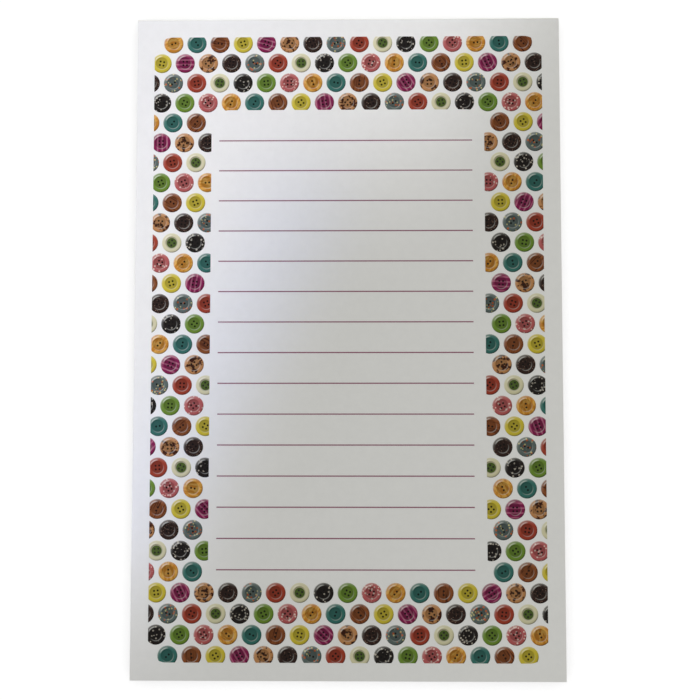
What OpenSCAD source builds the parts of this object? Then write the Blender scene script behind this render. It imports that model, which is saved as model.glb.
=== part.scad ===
// Ruled notepad: loose sheets and a stiff board, held by a film of glue along the top edge.
// The top sheet carries ruled lines on a plain panel, inside a border of printed dots.
// X runs across the sheet, Y up the page to the glued edge, and Z up from the table.
// The origin is under the middle of the pad, on the table.

/* [Sheets] */
// Width of a sheet
sheet_w = 139.7; // [125:0.1:220]
// Length of a sheet, from its free edge to its glued edge
sheet_l = 215.9; // [140:0.1:300]
// Thickness of one sheet
sheet_t = 0.1; // [0.06:0.01:0.2]
// Number of sheets
sheet_count = 50; // [10:1:150]

/* [Backing board] */
// Thickness of the board
board_t = 0.75; // [0.3:0.05:2]

/* [Glued edge] */
// Thickness of the glue film at the table and at the top sheet
glue_t = 0.15; // [0.05:0.01:0.4]
// How much thicker the film is half way up
glue_crown = 0.15; // [0.05:0.01:0.4]

/* [Border] */
// Thickness of the printed ink
ink_t = 0.05; // [0.02:0.01:0.1]
// Blank margin from the sheet's edge to the border
margin = 5.8; // [2:0.1:12]
// Corner radius of the border
border_r = 6; // [1:0.1:10]
// Width of the border along the left and right sides
border_side = 19.1; // [10:0.1:28]
// Width of the border along the top
border_head = 24.6; // [10:0.1:35]
// Width of the border along the bottom
border_foot = 25.8; // [10:0.1:35]
// Corner radius of the plain panel inside the border
panel_r = 6; // [1:0.1:10]

/* [Dots] */
// Diameter of a printed dot
dot_d = 6.4; // [4:0.1:9]
// Gap between neighbouring dots
dot_gap = 1.3; // [0.5:0.1:4]
// Narrowest slice of a dot that is still printed at an edge of the border
least_slice = 1.75; // [0.3:0.05:2]
// Number of sides that a dot is drawn with
dot_sides = 10; // [8:1:12]

/* [Ruled lines] */
// Distance from one line to the next
line_pitch = 10; // [5:0.1:14]
// Width of a line's stroke
line_w = 0.36; // [0.1:0.01:1]
// From the panel's top to the first line
line_head = 10.3; // [4:0.1:20]
// Least room from the last line to the panel's bottom
line_foot = 3; // [1:0.1:10]
// From the panel's left side to the start of a line
line_left = 2.6; // [1:0.1:15]
// From the end of a line to the panel's right side
line_right = 4; // [1:0.1:15]

/* [Hidden] */
// The inks of the dots, in the order in which they follow each other along a row
DOT_INKS = [
    ["red", [0.62, 0.25, 0.18]],
    ["cream", [0.84, 0.82, 0.68]],
    ["black", [0.12, 0.10, 0.09]],
    ["green", [0.42, 0.54, 0.20]],
    ["pink", [0.70, 0.36, 0.36]],
    ["amber", [0.76, 0.50, 0.17]],
    ["teal", [0.22, 0.43, 0.40]],
    ["rust", [0.54, 0.31, 0.17]],
    ["yellow", [0.80, 0.73, 0.24]],
    ["magenta", [0.50, 0.12, 0.30]],
    ["tan", [0.74, 0.53, 0.34]],
    ["cocoa", [0.19, 0.13, 0.11]],
    ["slate", [0.36, 0.41, 0.40]],
];
// Steps through the inks from one row of dots to the next. With 13 inks, 10 steps put each ink
// on a wider lattice of the same shape, so that dots of one ink never meet.
INK_STEPS = 10;

// The pad's outside
glue_reach = glue_t + glue_crown;
foot_y = -(sheet_l + glue_reach) / 2;
head_y = foot_y + sheet_l;
block_t = sheet_count * sheet_t;
block_top = board_t + block_t;
// Radius of the glue film's bulge, whose chord is the height of the glued edge
glue_r = (pow(block_top / 2, 2) + pow(glue_crown, 2)) / (2 * glue_crown);

// The border and the plain panel inside it, as sizes and as places of their middles
border_size = [sheet_w - 2 * margin, sheet_l - 2 * margin];
border_y = foot_y + sheet_l / 2;
panel_size = [border_size.x - 2 * border_side, border_size.y - border_head - border_foot];
panel_y = border_y + (border_foot - border_head) / 2;

// The lines fill the panel
line_l = panel_size.x - line_left - line_right;
line_x = line_left - panel_size.x / 2;
first_line_y = panel_y + panel_size.y / 2 - line_head;
line_count = 1 + floor((panel_size.y - line_head - line_foot) / line_pitch);

// The dots stand in staggered rows about the middle of the border
dot_r = dot_d / 2;
dot_pitch = dot_d + dot_gap;
row_pitch = dot_pitch * sin(60);
last_row = ceil(border_size.y / 2 / row_pitch);
last_column = ceil(border_size.x / 2 / dot_pitch) + 1;

// Fineness of the round corners and of the glue's bulge
corner_fn = 48;
glue_fn = 360;

function dots_name(ink) = str("dots_", ink[0]);

// Middle of a dot. Every second row is shifted by half a pitch.
function dot_at(column, row) = [
    (column + abs(row % 2) / 2) * dot_pitch,
    border_y + row * row_pitch
];

// Place of a dot's ink in the list of inks
function ink_at(column, row) =
    let (steps = column - floor(row / 2) + INK_STEPS * row, n = len(DOT_INKS))
    (steps % n + n) % n;

// How far a point lies outside a rounded field about the middle of the sheet, or inside if below zero
function outside(point, size, y, r) =
    let (dx = abs(point.x) - size.x / 2 + r, dy = abs(point.y - y) - size.y / 2 + r)
    norm([max(dx, 0), max(dy, 0)]) + min(max(dx, dy), 0) - r;

function past_border(point) = outside(point, border_size, border_y, border_r);
function past_panel(point) = outside(point, panel_size, panel_y, panel_r);

// A dot shows where a slice of it lies on the border, and is whole where no edge crosses it
function shows(point) = max(past_border(point), -past_panel(point)) < dot_r - least_slice;
function is_whole(point) = max(past_border(point), -past_panel(point)) < -dot_r;

// A rectangle with round corners about the middle of the sheet
module rounded_field(size, y, r) {
    translate([0, y]) {
        square([size.x - 2 * r, size.y], center = true);
        square([size.x, size.y - 2 * r], center = true);
        for (sx = [-1, 1], sy = [-1, 1])
            translate([sx * (size.x / 2 - r), sy * (size.y / 2 - r)])
                circle(r, $fn = corner_fn);
    }
}

module border_field() {
    difference() {
        rounded_field(border_size, border_y, border_r);
        rounded_field(panel_size, panel_y, panel_r);
    }
}

module round_dots(places) {
    for (place = places)
        translate(place)
            circle(dot_r, $fn = dot_sides);
}

module backing_board() {
    color([0.62, 0.56, 0.48])
        translate([-sheet_w / 2, foot_y, 0])
            cube([sheet_w, sheet_l, board_t]);
}

module page_block() {
    color([0.93, 0.93, 0.93])
        translate([-sheet_w / 2, foot_y, board_t])
            cube([sheet_w, sheet_l, block_t]);
}

// A film with a bulging back, drawn across the glued edge and laid along it
module binding_glue() {
    color([0.90, 0.90, 0.87])
        translate([-sheet_w / 2, head_y, 0])
            rotate([90, 0, 90])
                linear_extrude(sheet_w)
                    intersection() {
                        square([glue_reach, block_top]);
                        translate([glue_reach - glue_r, block_top / 2])
                            circle(glue_r, $fn = glue_fn);
                    }
}

module ruled_lines() {
    color([0.56, 0.34, 0.43])
        for (i = [0 : line_count - 1])
            translate([line_x, first_line_y - i * line_pitch - line_w / 2, block_top])
                cube([line_l, line_w, ink_t]);
}

// All dots of one ink
module printed_dots(ink_number) {
    places = [
        for (row = [-last_row : last_row], column = [-last_column : last_column])
            let (place = dot_at(column, row))
                if (ink_at(column, row) == ink_number && shows(place)) place
    ];
    color(DOT_INKS[ink_number][1])
        translate([0, 0, block_top])
            linear_extrude(ink_t) {
                round_dots([for (place = places) if (is_whole(place)) place]);
                intersection() {
                    border_field();
                    round_dots([for (place = places) if (!is_whole(place)) place]);
                }
            }
}

backing_board();
page_block();
binding_glue();
ruled_lines();
for (i = [0 : len(DOT_INKS) - 1])
    printed_dots(i);
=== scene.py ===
"""Looks of a ruled notepad: its sheets, board and glue, the ruled lines and a printed border of buttons."""

import math
import random

import bpy
from mathutils import Matrix, Vector, noise
from mathutils.geometry import delaunay_2d_cdt


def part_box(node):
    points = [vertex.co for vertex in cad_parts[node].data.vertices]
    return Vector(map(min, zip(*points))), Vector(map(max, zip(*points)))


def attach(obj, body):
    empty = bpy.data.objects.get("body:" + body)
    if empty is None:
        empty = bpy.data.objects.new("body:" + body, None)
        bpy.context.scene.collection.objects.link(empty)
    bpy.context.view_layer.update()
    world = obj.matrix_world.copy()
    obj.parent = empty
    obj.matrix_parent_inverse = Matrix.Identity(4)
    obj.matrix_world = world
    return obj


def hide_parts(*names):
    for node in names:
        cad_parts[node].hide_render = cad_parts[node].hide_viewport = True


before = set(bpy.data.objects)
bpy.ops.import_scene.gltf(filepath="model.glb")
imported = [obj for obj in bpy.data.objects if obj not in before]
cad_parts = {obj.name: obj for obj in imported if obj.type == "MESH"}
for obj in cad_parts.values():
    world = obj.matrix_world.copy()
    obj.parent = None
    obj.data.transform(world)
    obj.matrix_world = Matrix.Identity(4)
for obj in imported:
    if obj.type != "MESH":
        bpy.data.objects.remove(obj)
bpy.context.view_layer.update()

MM = 0.001
SEED = 41
BODY = "root"

# The photograph's camera: it looks down on the top sheet from a little below its middle.
IMAGE_PX = 700
FOCAL_PX = 1075.5
SENSOR_MM = 36
CAMERA_DISTANCE = 350 * MM
CAMERA_AIM = (0.77 * MM, -2.08 * MM)
CAMERA_TILT = math.radians(3.74)
CAMERA_TURN = math.radians(12.45)

# The floor. Its glow grows with the distance from the middle of the pad, between the near and the far one.
FLOOR_REACH = 3.0
FLOOR_DROP = 0.02 * MM
FLOOR_COLOUR = (0.85, 0.85, 0.85, 1.0)
FLOOR_GLOW_NEAR, FLOOR_GLOW_FAR = 0.34, 0.64
FLOOR_NEAR, FLOOR_FAR = 300 * MM, 900 * MM

# The even light of the room, and the background, which is just past white
ROOM_LIGHT = 0.47
BACKGROUND_LIGHT = 1.05
WHITE = (1.0, 1.0, 1.0, 1.0)

# The lamps: places and sizes are in metres, power is in watts, turn and spread are in degrees.
# A wide lamp straight above, for the floor alone
FLOOR_LAMP = dict(
    place=(0.0, 0.0, 2.4), power=38.0, colour=(1.0, 1.0, 1.0), length=4.0, width=4.0
)
# A soft lamp high up on the right, and strip lamps that light narrow fields of the pad from above
OVERHEAD = dict(
    place=(0.6, 0.12, 0.8), power=2.15, colour=(1.0, 0.99, 0.8), length=0.5, width=0.5
)
STRIP_HEIGHT = 420 * MM
STRIPS = {
    "strip_left": dict(
        place=(-75.5 * MM, 84 * MM), turn=72, power=0.0563, colour=(0.87, 0.87, 1.0),
        length=345 * MM, width=114 * MM, spread=12,
    ),
    "strip_head": dict(
        place=(66 * MM, 188 * MM), turn=62, power=0.0143, colour=(0.92, 0.91, 1.0),
        length=280 * MM, width=20 * MM, spread=13.6,
    ),
    "strip_sky": dict(
        place=(-43 * MM, -5.5 * MM), turn=64, power=0.00128, colour=(0.1, 0.25, 1.0),
        length=140 * MM, width=15 * MM, spread=8,
    ),
}

# The sheets: the groove between two of them, and how far they stray and wave at their free sides
SHEETS = 50
SHEET_GROOVE = 0.02 * MM
SHEET_GROOVE_DEPTH = 0.06 * MM
SHEET_FAN = 0.16 * MM
SHEET_WAVE = 0.03 * MM
# Height of a layer in the noise that tells one sheet's edge from the next
SHEET_LAYER = 0.11 * MM
# Lumps of the wave along the foot and along a side, and where in the noise they are taken from
FOOT_RIPPLES, SIDE_RIPPLES = 5, 7
FOOT_SEED, RIGHT_SEED, LEFT_SEED = 0.0, 3.0, 8.0
# Share of a side, next to the glue, on which the wave dies away
HELD_SHARE = 0.25
# Points on each side of a sheet
SIDE_STEPS = 14

# The board: its eased edges and the seam between its plies
BOARD_ROUND = 0.07 * MM
BOARD_PLY_DEPTH = 0.03 * MM

# The glue: its thickness at the edges, and its lumps and brush marks with their sizes along it and up it
GLUE_EDGE = 0.15 * MM
GLUE_DENT = 0.05 * MM
GLUE_LUMP = (7.7 * MM, 1.4 * MM)
GLUE_STREAK = (25 * MM, 0.38 * MM)
# Shares of a dent's depth: its mean, the part that the lumps change and the part that the streaks change
GLUE_MEAN_SHARE, GLUE_LUMP_SHARE, GLUE_STREAK_SHARE = 0.5, 0.35, 0.15
LUMP_SEED, STREAK_SEED = 0.0, 7.0
# Faces along the glue and up it
GLUE_STEPS = (180, 40)

# The printed border, as it is drawn in the solids
BORDER_R = 6 * MM
BORDER_SIDE = 19.1 * MM
BORDER_HEAD = 24.6 * MM
BORDER_FOOT = 25.8 * MM
PANEL_R = 6 * MM
DOT_R = 3.2 * MM
DOT_GAP = 1.3 * MM
LEAST_SLICE = 1.75 * MM
# Angle from a row to the nearest dot of the next one, and steps through the inks from row to row
ROW_TURN = math.radians(60)
INK_STEPS = 10

# Points round a dot and round a corner of the border, and how a dot is cut: triangles that fill the hull
# of all points, with points closer than the weld, in millimetres, taken as one
DOT_STEPS = 72
CORNER_STEPS = 24
FILL_HULL = 0
WELD = 1e-5

# A printed button, as shares of its radius
WELL_SHARE = 0.54
BEVEL_SHARE = 0.68
GLEAM_SHARE = 0.77
CREST_SHARE = 0.86
HOLE_AT_SHARE = 0.185
HOLE_R_SHARE = 0.105
SOFT_SHARE = 0.05
# Tone of a hole, as a part of the button's colour
HOLE_TONE = 0.2
# Where the light in the printed buttons comes from
PRINT_LIGHT = Vector((-0.55, 0.83, 0.0))
PRINT_GLOSS = (0.97, 0.97, 0.95)
# Half the width of the soft rim round a spot of a pattern, as a part of its cell
SPOT_SOFT = 0.06
# Steps that give each button of one ink its own stretch of the pattern
MOTIF_STEP = 3.7
MOTIF_CYCLE = 97

# The colour sockets of a Mix node, which share their names with others
MIX_FACTOR, MIX_FIRST, MIX_SECOND, MIX_RESULT = 0, 6, 7, 2

# Colours of the pieces, as they are written for a screen
PAPER = (0.925, 0.925, 0.925)
LINE_INK = (0.56, 0.34, 0.43)
BOARD = (0.66, 0.60, 0.52)
BOARD_DARK = (0.33, 0.29, 0.25)
BOARD_PALE = (0.80, 0.76, 0.68)
GLUE = (0.90, 0.90, 0.87)

# The inks in the order of the solids: name, colour, number of holes, pattern and its colours
INKS = [
    ("red", (0.62, 0.25, 0.18), 4, "plain", ()),
    ("cream", (0.84, 0.82, 0.68), 4, "well", ((0.36, 0.45, 0.20),)),
    ("black", (0.12, 0.10, 0.09), 4, "flecks", ((0.72, 0.69, 0.64),)),
    ("green", (0.42, 0.54, 0.20), 4, "plain", ()),
    ("pink", (0.70, 0.36, 0.36), 4, "flecks", ((0.90, 0.78, 0.74),)),
    ("amber", (0.76, 0.50, 0.17), 2, "marble", ((0.86, 0.66, 0.32),)),
    ("teal", (0.22, 0.43, 0.40), 2, "plain", ()),
    ("rust", (0.54, 0.31, 0.17), 2, "grain", ((0.30, 0.14, 0.07),)),
    ("yellow", (0.80, 0.73, 0.24), 4, "plain", ()),
    ("magenta", (0.50, 0.12, 0.30), 4, "stripes", ((0.68, 0.36, 0.48),)),
    ("tan", (0.74, 0.53, 0.34), 4, "patches", ((0.26, 0.12, 0.06),)),
    ("cocoa", (0.19, 0.13, 0.11), 4, "specks", ((0.52, 0.42, 0.36),)),
    ("slate", (0.36, 0.41, 0.40), 2, "confetti", ((0.72, 0.38, 0.22), (0.80, 0.77, 0.55))),
]


def linear(colour):
    """A colour as written for a screen, as the linear light that a shader takes."""
    return tuple(c / 12.92 if c <= 0.04045 else ((c + 0.055) / 1.055) ** 2.4 for c in colour) + (1.0,)


def even(size):
    """The same size along each axis."""
    return (size, size, size)


class Material:
    """A procedural material, with short ways to add nodes and join them."""

    def __init__(self, name, roughness, specular):
        self.data = bpy.data.materials.new(name)
        self.data.use_nodes = True
        self.tree = self.data.node_tree
        self.shader = self.tree.nodes["Principled BSDF"]
        self.shader.inputs["Roughness"].default_value = roughness
        self.shader.inputs["Specular IOR Level"].default_value = specular

    def feed(self, socket, value):
        """Gives a socket a value, or the output of another node."""
        if isinstance(value, bpy.types.NodeSocket):
            self.tree.links.new(value, socket)
        else:
            socket.default_value = value

    def node(self, kind, inputs, **settings):
        """Adds a node of a kind, with its settings and with its inputs fed."""
        node = self.tree.nodes.new("ShaderNode" + kind)
        for key, value in settings.items():
            setattr(node, key, value)
        for key, value in inputs.items():
            self.feed(node.inputs[key], value)
        return node

    def math(self, operation, *values):
        """A step of arithmetic on numbers."""
        return self.node("Math", dict(enumerate(values)), operation=operation).outputs[0]

    def vector(self, operation, *values):
        """A step of arithmetic on vectors, axis by axis."""
        return self.node("VectorMath", dict(enumerate(values)), operation=operation).outputs["Vector"]

    def length(self, vector):
        """The length of a vector."""
        return self.node("VectorMath", {0: vector}, operation="LENGTH").outputs["Value"]

    def dot(self, first, second):
        """The dot product of two vectors."""
        return self.node("VectorMath", {0: first, 1: second}, operation="DOT_PRODUCT").outputs["Value"]

    def above(self, value, low, high):
        """0 below low and 1 above high, with a soft step between them."""
        inputs = {"Value": value, "From Min": low, "From Max": high}
        return self.node("MapRange", inputs, interpolation_type="SMOOTHSTEP").outputs["Result"]

    def below(self, value, low, high):
        """1 below low and 0 above high, with a soft step between them."""
        return self.math("SUBTRACT", 1.0, self.above(value, low, high))

    def mix(self, factor, first, second, blend="MIX"):
        """The first colour at a factor of 0 and the second, or the blend of both, at 1."""
        inputs = {MIX_FACTOR: factor, MIX_FIRST: first, MIX_SECOND: second}
        return self.node("Mix", inputs, data_type="RGBA", blend_type=blend).outputs[MIX_RESULT]

    def tint(self, first, second):
        """The product of two colours."""
        return self.mix(1.0, first, second, blend="MULTIPLY")

    def ramp(self, factor, *stops):
        """A colour ramp through stops of position and grey value."""
        node = self.node("ValToRGB", {"Fac": factor})
        elements = node.color_ramp.elements
        while len(elements) < len(stops):
            elements.new(0.5)
        for element, (position, value) in zip(elements, stops):
            element.position = position
            element.color = (value, value, value, 1.0)
        return node.outputs["Color"]

    def place(self):
        """The place on the object, in metres."""
        return self.node("TexCoord", {}).outputs["Object"]

    def attribute(self, name):
        """Coordinates that the mesh carries under a name."""
        return self.node("Attribute", {}, attribute_name=name).outputs["Vector"]

    def noise(self, size, detail, at=None):
        """Soft noise with lumps of a size along each axis, about the place on the object or another."""
        where = self.vector("DIVIDE", self.place() if at is None else at, size)
        return self.node("TexNoise", {"Vector": where, "Scale": 1.0, "Detail": detail}).outputs["Fac"]

    def cells(self, size, at=None):
        """Cells of a size along each axis: distance from a cell's middle, and the cell's random number."""
        where = self.vector("DIVIDE", self.place() if at is None else at, size)
        node = self.node("TexVoronoi", {"Vector": where, "Scale": 1.0})
        chance = self.node("SeparateColor", {"Color": node.outputs["Color"]}).outputs["Red"]
        return node.outputs["Distance"], chance

    def colour(self, value):
        """Gives the surface its colour."""
        self.feed(self.shader.inputs["Base Color"], value)

    def bump(self, height, strength, depth):
        """Gives the surface a fine relief of a depth."""
        inputs = {"Height": height, "Strength": strength, "Distance": depth}
        normal = self.node("Bump", inputs).outputs["Normal"]
        self.feed(self.shader.inputs["Normal"], normal)


def paper_grain(m):
    """The felt of fibres that shows in bare and printed paper alike."""
    fibre = (0.3 * MM, 0.5 * MM, 0.3 * MM)
    m.bump(m.noise(fibre, detail=4.0), strength=0.22, depth=0.012 * MM)


def paper_material():
    """White writing paper, a little cloudy where its fibres lie closer."""
    m = Material("paper", roughness=0.88, specular=0.25)
    cloud = even(2.4 * MM)
    fibre = (0.4 * MM, 1.1 * MM, 0.4 * MM)
    fibre_weight = 0.35
    tones = (0.45, 0.975), (0.9, 1.0)
    shade = m.math("MULTIPLY_ADD", m.noise(fibre, detail=3.0), fibre_weight, m.noise(cloud, detail=3.0))
    m.colour(m.tint(linear(PAPER), m.ramp(shade, *tones)))
    paper_grain(m)
    return m.data


def paper_edge_material():
    """The cut side of the stack: one fine streak for each sheet, its darker bands partly painted shade in
    the gaps between the sheets and partly their own tone, crossed by the knife's marks.
    """
    m = Material("paper_edge", roughness=0.92, specular=0.2)
    sheet = (71 * MM, 71 * MM, SHEET_LAYER)
    quire = (167 * MM, 167 * MM, 0.45 * MM)
    mark = (1.1 * MM, 1.1 * MM, 25 * MM)
    knife_weight = 0.5
    tones = (0.36, 0.60), (0.48, 0.88), (0.6, 1.0)
    # Painted shade: these bands darken the edge between one sheet and the next, where shade falls
    sheets = m.noise(sheet, detail=1.0)
    quires = m.noise(quire, detail=2.0)
    knife = m.noise(mark, detail=2.0)
    streaks = m.math("MULTIPLY_ADD", knife, knife_weight, m.math("ADD", sheets, quires))
    evened = m.math("DIVIDE", streaks, 2 + knife_weight)
    m.colour(m.tint(linear(PAPER), m.ramp(evened, *tones)))
    m.bump(streaks, strength=0.4, depth=0.04 * MM)
    return m.data


def board_material():
    """Grey chipboard: a mottled felt of recycled fibres with dark and pale flecks."""
    m = Material("chipboard", roughness=0.93, specular=0.2)
    fibre = (1.1 * MM, 2.0 * MM, 0.45 * MM)
    tones = (0.3, 0.72), (0.7, 1.0)
    cloud = (9 * MM, 15 * MM, 9 * MM)
    cloud_tones = (0.35, 0.86), (0.65, 1.0)
    fleck_cell = (1.5 * MM, 3.8 * MM, 1.5 * MM)
    fleck_core, fleck_rim = 0.12, 0.3
    fleck_strength = 0.6
    dark_share, pale_share = 0.19, 0.19
    felt = m.noise(fibre, detail=5.0)
    mottle = m.ramp(m.noise(cloud, detail=4.0), *cloud_tones)
    base = m.tint(m.tint(linear(BOARD), mottle), m.ramp(felt, *tones))
    distance, chance = m.cells(fleck_cell)
    fleck = m.math("MULTIPLY", m.below(distance, fleck_core, fleck_rim), fleck_strength)
    dark = m.math("MULTIPLY", fleck, m.math("GREATER_THAN", chance, 1 - dark_share))
    pale = m.math("MULTIPLY", fleck, m.math("LESS_THAN", chance, pale_share))
    m.colour(m.mix(pale, m.mix(dark, base, linear(BOARD_DARK)), linear(BOARD_PALE)))
    m.bump(felt, strength=0.4, depth=0.03 * MM)
    return m.data


def glue_material():
    """Dried padding glue: satin, drawn out by the brush, with the sheets showing through."""
    m = Material("glue", roughness=0.42, specular=0.45)
    sheet = (33 * MM, 33 * MM, SHEET_LAYER)
    stroke = (17 * MM, 2.5 * MM, 1.1 * MM)
    stroke_weight = 0.6
    tones = (0.5, 0.86), (1.0, 1.0)
    strokes = m.noise(stroke, detail=3.0)
    film = m.math("MULTIPLY_ADD", strokes, stroke_weight, m.noise(sheet, detail=2.0))
    m.colour(m.tint(linear(GLUE), m.ramp(film, *tones)))
    m.bump(film, strength=0.3, depth=0.03 * MM)
    return m.data


def line_material():
    """The ink of the ruled lines, thinner here and there."""
    m = Material("line_ink", roughness=0.7, specular=0.3)
    patch = even(0.55 * MM)
    tones = (0.3, 0.86), (0.7, 1.0)
    m.colour(m.tint(linear(LINE_INK), m.ramp(m.noise(patch, detail=3.0), *tones)))
    paper_grain(m)
    return m.data


def scatter(m, motif, cell, size, share):
    """Small spots of a size, as a part of the cell, in a share of the cells of a pattern."""
    distance, chance = m.cells(even(cell), at=motif)
    spot = m.below(distance, size - SPOT_SOFT, size + SPOT_SOFT)
    return m.math("MULTIPLY", spot, m.math("GREATER_THAN", chance, 1 - share))


def plain(m, motif, radius, base):
    """One colour all over."""
    return base


def well(m, motif, radius, base, inner):
    """A flat middle of another colour."""
    return m.mix(m.below(radius, WELL_SHARE - SOFT_SHARE, WELL_SHARE), base, inner)


def flecks(m, motif, radius, base, fleck):
    """Large light flecks."""
    return m.mix(scatter(m, motif, cell=0.28, size=0.34, share=0.6), base, fleck)


def specks(m, motif, radius, base, speck):
    """Small light flecks."""
    return m.mix(scatter(m, motif, cell=0.155, size=0.30, share=0.45), base, speck)


def confetti(m, motif, radius, base, first, second):
    """Flecks of two colours, one over the other."""
    apart = (5.3, 2.1, 0.0)
    moved = m.vector("ADD", motif, apart)
    below = m.mix(scatter(m, motif, cell=0.31, size=0.36, share=0.5), base, first)
    return m.mix(scatter(m, moved, cell=0.28, size=0.32, share=0.4), below, second)


def marble(m, motif, radius, base, vein):
    """Long soft veins."""
    vein_size = (0.64, 0.24, 0.77)
    swirl = m.noise(vein_size, detail=3.0, at=motif)
    return m.mix(m.above(swirl, low=0.42, high=0.62), base, vein)


def grain(m, motif, radius, base, ring):
    """The dark year rings of wood."""
    ring_size = (1.4, 0.14, 1.0)
    rings = m.noise(ring_size, detail=3.0, at=motif)
    return m.mix(m.above(rings, low=0.48, high=0.68), base, ring)


def patches(m, motif, radius, base, patch):
    """Dark blots, as on horn."""
    blot_size = even(0.42)
    blots = m.noise(blot_size, detail=2.0, at=motif)
    return m.mix(m.above(blots, low=0.50, high=0.60), base, patch)


def stripes(m, motif, radius, base, stripe):
    """Light stripes from side to side."""
    stripe_turns = (13.0, 0.0, 0.0)
    wave = m.math("SINE", m.dot(motif, stripe_turns))
    return m.mix(m.above(wave, low=0.25, high=0.75), base, stripe)


# The patterns by name. Each gets the material, the place on the turned button, the distance from its
# middle as a share of the radius, and the button's colours.
PATTERNS = {
    pattern.__name__: pattern
    for pattern in (plain, well, flecks, specks, confetti, marble, grain, patches, stripes)
}


def button_form(m, surface, radius, towards):
    """The light and shade on a button: a rounded rim with a gleam, and a bevel down to a darker well."""
    bevel = (WELL_SHARE + BEVEL_SHARE) / 2
    # Along the radius, half is level, less leans in to the middle and more leans out
    leans = (WELL_SHARE, 0.5), (bevel, 0.12), (BEVEL_SHARE, 0.5), (CREST_SHARE, 0.6), (1.0, 1.0)
    depths = (0.0, 0.72), (WELL_SHARE, 0.60), (BEVEL_SHARE, 1.0)
    gleams = (BEVEL_SHARE, 0.0), (GLEAM_SHARE, 0.6), (CREST_SHARE, 0.0)
    shades = (0.0, 0.12), (0.5, 0.96)
    lights = (0.5, 0.0), (1.0, 0.45)
    lean = m.math("MULTIPLY_ADD", m.ramp(radius, *leans), 2.0, -1.0)
    light = m.math("MULTIPLY_ADD", m.math("MULTIPLY", lean, towards), 0.5, 0.5)
    shaded = m.tint(surface, m.ramp(light, *shades))
    lit = m.mix(m.ramp(light, *lights), shaded, linear(PRINT_GLOSS))
    sunk = m.tint(lit, m.ramp(radius, *depths))
    gleam = m.math("MULTIPLY", m.ramp(radius, *gleams), m.above(towards, low=0.72, high=1.0))
    return m.mix(gleam, sunk, linear(PRINT_GLOSS))


def button_holes(m, motif, holes):
    """1 in the two or four holes for the thread."""
    flat = m.vector("MULTIPLY", motif, (1.0, 1.0, 0.0))
    offset = (HOLE_AT_SHARE, HOLE_AT_SHARE if holes == 4 else 0.0, 0.0)
    from_hole = m.length(m.vector("SUBTRACT", m.vector("ABSOLUTE", flat), offset))
    return m.below(from_hole, HOLE_R_SHARE - SOFT_SHARE / 2, HOLE_R_SHARE + SOFT_SHARE / 2)


def button_material(name, colour, holes, pattern, colours):
    """A printed button of one ink, drawn in the coordinates that its mesh carries."""
    m = Material("ink_" + name, roughness=0.6, specular=0.08)
    motif, spot = m.attribute("motif"), m.attribute("spot")
    radius = m.length(spot)
    towards = m.math("DIVIDE", m.dot(spot, PRINT_LIGHT), m.math("MAXIMUM", radius, SOFT_SHARE))
    inks = [linear(c) for c in (colour, *colours)]
    surface = PATTERNS[pattern](m, motif, radius, *inks)
    form = button_form(m, surface, radius, towards)
    dark = linear([HOLE_TONE * c for c in colour])
    m.colour(m.mix(button_holes(m, motif, holes), form, dark))
    paper_grain(m)
    return m.data


def piece(name, node, verts, faces, materials, slots=None):
    """Makes a mesh that stands for a node of the solids and rides with it."""
    mesh = bpy.data.meshes.new(name)
    mesh.from_pydata([tuple(v) for v in verts], [], faces)
    for material in materials:
        mesh.materials.append(material)
    if slots:
        mesh.polygons.foreach_set("material_index", slots)
    mesh.validate()
    made = bpy.data.objects.new(name, mesh)
    bpy.context.collection.objects.link(made)
    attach(made, BODY)
    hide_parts(node)
    return made


def loft(name, node, rings, materials):
    """A closed solid through rings of points: first material on its ends, last on its sides."""
    count = len(rings[0])
    verts = [point for ring in rings for point in ring]
    faces = []
    for level in range(len(rings) - 1):
        for i in range(count):
            low, low_next = level * count + i, level * count + (i + 1) % count
            faces.append((low, low_next, low_next + count, low + count))
    slots = [len(materials) - 1] * len(faces) + [0, 0]
    faces.append(tuple(reversed(range(count))))
    faces.append(tuple(range(len(verts) - count, len(verts))))
    piece(name, node, verts, faces, materials, slots)


def ripple(wave, along, seed, z):
    """How far a sheet's edge waves inwards at a place along one of its sides."""
    return wave * (1 + noise.noise(Vector((along, seed, z / SHEET_LAYER)))) / 2


def sheet_ring(low, high, z, left, right, foot, wave=0.0, count=1):
    """The outline of a sheet with a count of points on each side, drawn in at its free sides alone."""
    points = []
    steps = [i / count for i in range(count)]
    width, height = high.x - low.x, high.y - low.y
    for s in steps:
        x = low.x + left + (width - left - right) * s
        points.append((x, low.y + foot + ripple(wave, FOOT_RIPPLES * s, FOOT_SEED, z), z))
    for s in steps:
        free = min(1.0, (1 - s) / HELD_SHARE)
        fan = right * (1 - s) + free * ripple(wave, SIDE_RIPPLES * s, RIGHT_SEED, z)
        points.append((high.x - fan, low.y + foot + (height - foot) * s, z))
    for s in steps:
        points.append((high.x - width * s, high.y, z))
    for s in steps:
        free = min(1.0, s / HELD_SHARE)
        fan = left * s + free * ripple(wave, SIDE_RIPPLES * s, LEFT_SEED, z)
        points.append((low.x + fan, high.y - (height - foot) * s, z))
    return points


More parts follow.
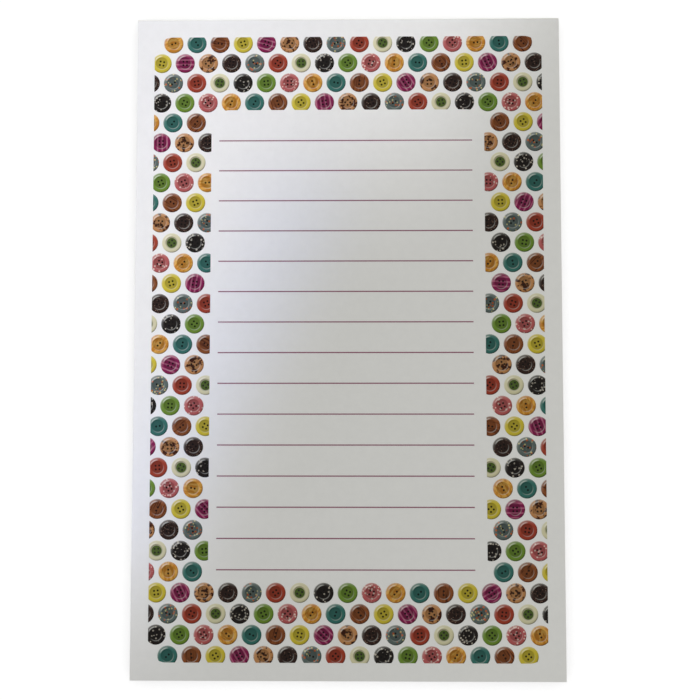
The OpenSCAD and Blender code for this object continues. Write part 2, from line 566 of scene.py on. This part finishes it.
def page_stack():
    """The stack of sheets: each is held at the glue and strays a little at its free end."""
    low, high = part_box("page_block")
    rng = random.Random(SEED)
    thickness = (high.z - low.z) / SHEETS
    rings = []
    for i in range(SHEETS):
        sway = rng.uniform(-1, 1)
        left = SHEET_FAN * (1 + sway) / 2
        right = SHEET_FAN * (1 - sway) / 2
        foot = SHEET_FAN * rng.random() ** 2
        base = low.z + i * thickness
        top = base + thickness
        last = i == SHEETS - 1
        under = base + (SHEET_GROOVE / 2 if i else 0.0)
        over = top - (0.0 if last else SHEET_GROOVE / 2)
        for z in (under, over):
            rings.append(sheet_ring(low, high, z, left, right, foot, SHEET_WAVE, SIDE_STEPS))
        if not last:
            deep = [side + SHEET_GROOVE_DEPTH for side in (left, right, foot)]
            rings.append(sheet_ring(low, high, top, *deep, SHEET_WAVE, SIDE_STEPS))
    loft("page_stack", "page_block", rings, [paper_material(), paper_edge_material()])


def board():
    """The backing board, with edges eased by the knife and a fine seam between its two plies."""
    low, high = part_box("backing_board")
    middle = (low.z + high.z) / 2
    levels = [
        (low.z, BOARD_ROUND),
        (low.z + BOARD_ROUND, 0.0),
        (middle - BOARD_PLY_DEPTH, 0.0),
        (middle, BOARD_PLY_DEPTH),
        (middle + BOARD_PLY_DEPTH, 0.0),
        (high.z - BOARD_ROUND / 2, 0.0),
        (high.z, BOARD_ROUND / 2),
    ]
    rings = [sheet_ring(low, high, z, draw, draw, draw) for z, draw in levels]
    loft("board", "backing_board", rings, [board_material()])


def glue_dent(x, z):
    """How deep the brush has left the glue below its full bulge."""
    lump = noise.noise(Vector((x / GLUE_LUMP[0], LUMP_SEED, z / GLUE_LUMP[1])))
    streak = noise.noise(Vector((x / GLUE_STREAK[0], STREAK_SEED, z / GLUE_STREAK[1])))
    dent = GLUE_MEAN_SHARE + GLUE_LUMP_SHARE * lump + GLUE_STREAK_SHARE * streak
    return GLUE_DENT * max(dent, 0.0)


def grid_rim(columns, rows):
    """The points round a grid of faces, as numbers in a list of its points that runs up each column."""
    rim = [i * (rows + 1) for i in range(columns + 1)]
    rim += [columns * (rows + 1) + j for j in range(1, rows + 1)]
    rim += [i * (rows + 1) + rows for i in reversed(range(columns))]
    rim += list(reversed(range(1, rows)))
    return rim


def glue_film():
    """The glue along the top edge: a bulging film with the brush's dents, and a flat back."""
    low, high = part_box("binding_glue")
    columns, rows = GLUE_STEPS
    height = high.z - low.z
    crown = high.y - low.y - GLUE_EDGE
    arc_r = (height**2 / 4 + crown**2) / (2 * crown)
    verts, faces = [], []
    for i in range(columns + 1):
        x = low.x + (high.x - low.x) * i / columns
        for j in range(rows + 1):
            z = low.z + height * j / rows
            bulge = math.sqrt(arc_r**2 - (z - low.z - height / 2) ** 2) - arc_r + crown
            verts.append((x, low.y + GLUE_EDGE + bulge - glue_dent(x, z), z))
    for i in range(columns):
        for j in range(rows):
            corner = i * (rows + 1) + j
            faces.append((corner, corner + 1, corner + rows + 2, corner + rows + 1))
    rim = grid_rim(columns, rows)
    back = len(verts)
    verts += [(verts[v][0], low.y, verts[v][2]) for v in rim]
    for k in range(len(rim)):
        after = (k + 1) % len(rim)
        faces.append((rim[k], rim[after], back + after, back + k))
    faces.append(tuple(back + k for k in range(len(rim))))
    film = piece("glue_film", "binding_glue", verts, faces, [glue_material()])
    smooth = [True] * (columns * rows) + [False] * (len(rim) + 1)
    film.data.polygons.foreach_set("use_smooth", smooth)


def outside(point, size, middle_y, radius):
    """How far a point lies outside a field with round corners, or inside if below zero."""
    dx = abs(point.x) - size.x / 2 + radius
    dy = abs(point.y - middle_y) - size.y / 2 + radius
    return math.hypot(max(dx, 0.0), max(dy, 0.0)) + min(max(dx, dy), 0.0) - radius


def rounded_outline(size, middle_y, radius):
    """The points around a field with round corners."""
    points = []
    for quarter, (sx, sy) in enumerate([(1, 1), (-1, 1), (-1, -1), (1, -1)]):
        corner = Vector((sx * (size.x / 2 - radius), middle_y + sy * (size.y / 2 - radius)))
        for i in range(CORNER_STEPS + 1):
            angle = math.pi / 2 * (quarter + i / CORNER_STEPS)
            points.append(corner + radius * Vector((math.cos(angle), math.sin(angle))))
    return points


class Border:
    """The printed border, and the staggered rows of dots on it."""

    def __init__(self):
        boxes = [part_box("dots_" + ink[0]) for ink in INKS]
        low = [min(b[0][i] for b in boxes) for i in range(3)]
        high = [max(b[1][i] for b in boxes) for i in range(3)]
        self.low_z, self.high_z = low[2], high[2]
        self.size = Vector((high[0] - low[0], high[1] - low[1]))
        self.middle_y = (low[1] + high[1]) / 2
        self.panel = self.size - Vector((2 * BORDER_SIDE, BORDER_HEAD + BORDER_FOOT))
        self.panel_y = self.middle_y + (BORDER_FOOT - BORDER_HEAD) / 2
        self.pitch = 2 * DOT_R + DOT_GAP
        self.row_pitch = self.pitch * math.sin(ROW_TURN)
        self.outlines = [
            rounded_outline(self.size, self.middle_y, BORDER_R),
            rounded_outline(self.panel, self.panel_y, PANEL_R),
        ]

    def off(self, point):
        """How far a point lies off the border, or inside it if below zero."""
        past = outside(point, self.size, self.middle_y, BORDER_R)
        return max(past, -outside(point, self.panel, self.panel_y, PANEL_R))

    def places(self):
        """The middle of each dot that shows, with the place of its ink in the list."""
        rows = math.ceil(self.size.y / 2 / self.row_pitch)
        columns = math.ceil(self.size.x / 2 / self.pitch) + 1
        for row in range(-rows, rows + 1):
            for column in range(-columns, columns + 1):
                x = (column + row % 2 / 2) * self.pitch
                place = Vector((x, self.middle_y + row * self.row_pitch))
                if self.off(place) < DOT_R - LEAST_SLICE:
                    yield place, (column - row // 2 + INK_STEPS * row) % len(INKS)

    def dot(self, place):
        """The points and faces of a flat dot, cut off where the border ends."""
        turns = [2 * math.pi * i / DOT_STEPS for i in range(DOT_STEPS)]
        ring = [place + DOT_R * Vector((math.cos(a), math.sin(a))) for a in turns]
        if self.off(place) < -DOT_R:
            return ring, [tuple(range(DOT_STEPS))]
        return self.cut(place, ring)

    def cut(self, place, ring):
        """The points and faces of the part of a dot that lies on the border."""
        points, edges = [], []
        for outline in [ring, *self.outlines]:
            first, count = len(points), len(outline)
            points += [p / MM for p in outline]
            edges += [(first + i, first + (i + 1) % count) for i in range(count)]
        points, _, faces, *_ = delaunay_2d_cdt(points, edges, [], FILL_HULL, WELD)
        points = [p * MM for p in points]
        reach = DOT_R * math.cos(math.pi / DOT_STEPS)
        kept = []
        for face in faces:
            middle = sum((points[i] for i in face), Vector((0.0, 0.0))) / len(face)
            if (middle - place).length < reach and self.off(middle) < 0:
                kept.append(face)
        used = sorted({i for face in kept for i in face})
        index = {old: new for new, old in enumerate(used)}
        return [points[i] for i in used], [tuple(index[i] for i in face) for face in kept]


class Film:
    """The thin fields of one ink, with the coordinates that its material draws in."""

    def __init__(self):
        self.verts, self.faces = [], []
        self.motif, self.spot = [], []

    def add(self, place, points, faces, turn, low_z, high_z):
        """Adds one button: its two flat sides, and a wall round its edge."""
        first, count = len(self.verts), len(points)
        stretch = MOTIF_STEP * (first % MOTIF_CYCLE)
        for z in (low_z, high_z):
            for p in points:
                spot = (p - place) / DOT_R
                self.verts.append((p.x, p.y, z))
                self.spot += [spot.x, spot.y, 0.0]
                self.motif += [*(turn @ spot), stretch]
        for face in faces:
            self.faces.append(tuple(first + i for i in reversed(face)))
            self.faces.append(tuple(first + count + i for i in face))
        sides = {(a, b) for face in faces for a, b in zip(face, face[1:] + face[:1])}
        for a, b in sorted(sides):
            if (b, a) not in sides:
                self.faces.append((first + a, first + b, first + count + b, first + count + a))

    def finish(self, name, material):
        """Makes the piece of this ink, and gives its mesh the coordinates."""
        made = piece("buttons_" + name, "dots_" + name, self.verts, self.faces, [material])
        for key, values in (("motif", self.motif), ("spot", self.spot)):
            layer = made.data.attributes.new(key, "FLOAT_VECTOR", "POINT")
            layer.data.foreach_set("vector", values)


def printed_buttons():
    """One piece for each ink, with each button turned its own way."""
    border = Border()
    rng = random.Random(SEED)
    films = [Film() for _ in INKS]
    for place, ink in border.places():
        points, faces = border.dot(place)
        turn = Matrix.Rotation(rng.uniform(0, 2 * math.pi), 2)
        films[ink].add(place, points, faces, turn, border.low_z, border.high_z)
    for film, (name, *look) in zip(films, INKS):
        film.finish(name, button_material(name, *look))


def ruled_lines():
    """The lines keep the shape of the solids, and get their ink."""
    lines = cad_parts["ruled_lines"].data
    lines.materials.clear()
    lines.materials.append(line_material())


def lamp(name, place, power, colour, length, width):
    """A soft rectangular lamp that looks at the pad."""
    data = bpy.data.lights.new(name, "AREA")
    data.shape = "RECTANGLE"
    data.size, data.size_y = length, width
    data.energy = power
    data.color = colour
    made = bpy.data.objects.new(name, data)
    made.location = place
    made.rotation_euler = (-Vector(place)).to_track_quat("-Z", "Y").to_euler()
    bpy.context.collection.objects.link(made)
    return made


def strip(name, place, turn, spread, **look):
    """A strip lamp that hangs over the pad and lights a narrow field straight below it."""
    made = lamp(name, (*place, STRIP_HEIGHT), **look)
    made.rotation_euler = (0.0, 0.0, math.radians(turn))
    made.data.spread = math.radians(spread)
    return made


def link_light(light, thing, state):
    """Gives a lamp's light to one thing alone (INCLUDE), or keeps it off that thing (EXCLUDE)."""
    group = bpy.data.collections.new(light.name + "_link")
    group.objects.link(thing)
    group.collection_objects[0].light_linking.link_state = state
    light.light_linking.receiver_collection = group


def seen_by(tree):
    """1 for the rays that show the background: camera, mirror and clear ones."""
    path = tree.nodes.new("ShaderNodeLightPath")
    value = path.outputs["Is Camera Ray"]
    for other in ("Is Glossy Ray", "Is Transmission Ray"):
        join = tree.nodes.new("ShaderNodeMath")
        join.operation = "MAXIMUM"
        tree.links.new(value, join.inputs[0])
        tree.links.new(path.outputs[other], join.inputs[1])
        value = join.outputs[0]
    return value


def room():
    """An even light from all around, in front of a white background."""
    world = bpy.data.worlds.new("room")
    bpy.context.scene.world = world
    world.use_nodes = True
    tree = world.node_tree
    fill = tree.nodes["Background"]
    fill.inputs["Color"].default_value = WHITE
    fill.inputs["Strength"].default_value = ROOM_LIGHT
    white = tree.nodes.new("ShaderNodeBackground")
    white.inputs["Color"].default_value = WHITE
    white.inputs["Strength"].default_value = BACKGROUND_LIGHT
    mix = tree.nodes.new("ShaderNodeMixShader")
    tree.links.new(seen_by(tree), mix.inputs[0])
    tree.links.new(fill.outputs[0], mix.inputs[1])
    tree.links.new(white.outputs[0], mix.inputs[2])
    tree.links.new(mix.outputs[0], tree.nodes["World Output"].inputs["Surface"])


def floor_material():
    """Matt white, lifted to the background's white by a glow that is stronger further from the pad."""
    m = Material("floor", roughness=1.0, specular=0.0)
    m.colour(FLOOR_COLOUR)
    m.feed(m.shader.inputs["Emission Color"], WHITE)
    away = m.above(m.length(m.place()), FLOOR_NEAR, FLOOR_FAR)
    glow = m.math("MULTIPLY_ADD", away, FLOOR_GLOW_FAR - FLOOR_GLOW_NEAR, FLOOR_GLOW_NEAR)
    m.feed(m.shader.inputs["Emission Strength"], m.math("MULTIPLY", seen_by(m.tree), glow))
    return m.data


def ground():
    """The floor that the pad lies on."""
    mesh = bpy.data.meshes.new("floor")
    corners = [(-1, -1), (1, -1), (1, 1), (-1, 1)]
    verts = [(FLOOR_REACH * x, FLOOR_REACH * y, -FLOOR_DROP) for x, y in corners]
    mesh.from_pydata(verts, [], [tuple(range(len(verts)))])
    mesh.materials.append(floor_material())
    made = bpy.data.objects.new("floor", mesh)
    bpy.context.collection.objects.link(made)
    return made


def studio():
    """A white room with a soft lamp, and strips of light that make the upper left of the pad brighter.

    They are kept off the floor. It has its own lamp, which gives the pad an even shadow on all sides.
    """
    bpy.context.scene.view_settings.view_transform = "Standard"
    room()
    floor = ground()
    link_light(lamp("floor_lamp", **FLOOR_LAMP), floor, "INCLUDE")
    link_light(lamp("overhead", **OVERHEAD), floor, "EXCLUDE")
    for name, look in STRIPS.items():
        link_light(strip(name, **look), floor, "EXCLUDE")


def camera():
    """The photograph's view, upright in the picture."""
    data = bpy.data.cameras.new("camera")
    data.sensor_width = SENSOR_MM
    data.lens = SENSOR_MM * FOCAL_PX / IMAGE_PX
    made = bpy.data.objects.new("camera", data)
    bpy.context.collection.objects.link(made)
    back = Vector((
        math.sin(CAMERA_TILT) * math.sin(CAMERA_TURN),
        -math.sin(CAMERA_TILT) * math.cos(CAMERA_TURN),
        math.cos(CAMERA_TILT),
    ))
    right = Vector((0, 1, 0)).cross(back).normalized()
    axes = Matrix((right, back.cross(right), back)).transposed().to_4x4()
    aim = Vector((*CAMERA_AIM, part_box("page_block")[1].z))
    made.matrix_world = Matrix.Translation(aim + CAMERA_DISTANCE * back) @ axes
    bpy.context.scene.camera = made


camera()
studio()
page_stack()
board()
glue_film()
ruled_lines()
printed_buttons()
